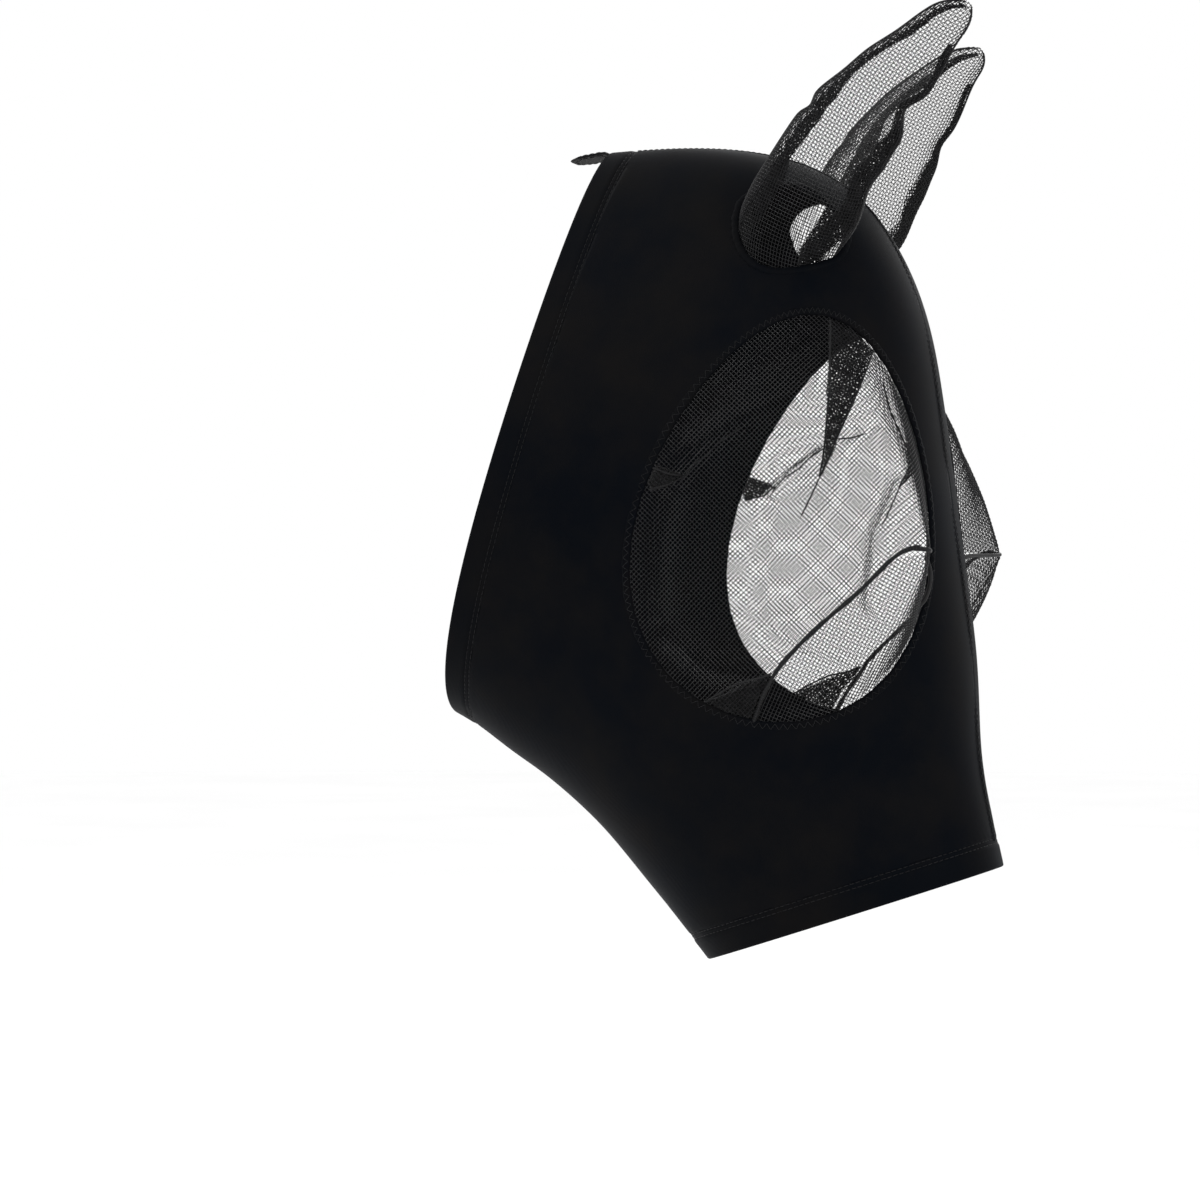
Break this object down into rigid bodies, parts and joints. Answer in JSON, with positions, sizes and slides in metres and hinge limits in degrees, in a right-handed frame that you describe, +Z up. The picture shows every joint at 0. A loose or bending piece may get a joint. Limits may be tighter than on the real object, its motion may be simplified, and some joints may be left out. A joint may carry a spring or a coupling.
{
  "type": "horse fly mask",
  "caption": "Pull-on stretch hood that shields a horse's face from flies, with domed mesh eye covers and mesh ears.",
  "frame": {"origin": "middle of the neck opening, on the mask's mid-plane", "axes": "+X forward from the poll towards the nose, +Z up, +Y across to the horse's left side"},
  "size_m": [0.3095, 0.2046, 0.513],
  "materials": {
    "stretch_cloth": "matt warp knit with a faint sheen",
    "hem_cloth": "matt warp knit, turned double",
    "thread": "polyester sewing thread",
    "mesh": "coated open square mesh",
    "mesh_seam": "coated mesh, folded and sewn",
    "tab_web": "folded woven tape"
  },
  "bodies": {
    "hood": {"side_panel_right": "stretch_cloth", "side_panel_left": "stretch_cloth", "front_seam": "thread", "jaw_seam": "thread", "neck_hem": "hem_cloth", "nose_hem": "hem_cloth", "neck_hem_stitching": "thread", "nose_hem_stitching": "thread", "eye_rim_right": "hem_cloth", "eye_rim_left": "hem_cloth", "eye_mesh_upper_right": "mesh", "eye_mesh_upper_left": "mesh", "eye_mesh_lower_right": "mesh", "eye_mesh_lower_left": "mesh", "eye_ridge_seam_right": "mesh_seam", "eye_ridge_seam_left": "mesh_seam", "eye_dart_top_right": "mesh_seam", "eye_dart_top_left": "mesh_seam", "eye_dart_rear_right": "mesh_seam", "eye_dart_rear_left": "mesh_seam", "eye_dart_lower_right": "mesh_seam", "eye_dart_lower_left": "mesh_seam", "ear_rim_right": "hem_cloth", "ear_rim_left": "hem_cloth", "ear_foot_right": "mesh", "ear_foot_left": "mesh"},
    "ear_right": {"ear_mesh_outer_right": "mesh", "ear_mesh_inner_right": "mesh", "ear_seam_front_right": "mesh_seam", "ear_seam_rear_right": "mesh_seam"},
    "ear_left": {"ear_mesh_outer_left": "mesh", "ear_mesh_inner_left": "mesh", "ear_seam_front_left": "mesh_seam", "ear_seam_rear_left": "mesh_seam"},
    "tab": {"poll_tab": "tab_web"}
  },
  "joints": [
    {"name": "ear_right_tilt", "type": "hinge", "parent": "hood", "child": "ear_right", "pos_m": [0.152, -0.0402, 0.0885], "axis": [0, -0.7828, 0.6222], "range_deg": [-7, 7], "stiffness_Nm_per_rad": 0.5},
    {"name": "ear_left_tilt", "type": "hinge", "parent": "hood", "child": "ear_left", "pos_m": [0.152, 0.0402, 0.0885], "axis": [0, -0.7828, -0.6222], "range_deg": [-7, 7], "stiffness_Nm_per_rad": 0.5},
    {"name": "tab_lift", "type": "hinge", "parent": "hood", "child": "tab", "pos_m": [0.0375, 0, 0.1582], "axis": [0, 1, 0], "range_deg": [0, 115]}
  ]
}
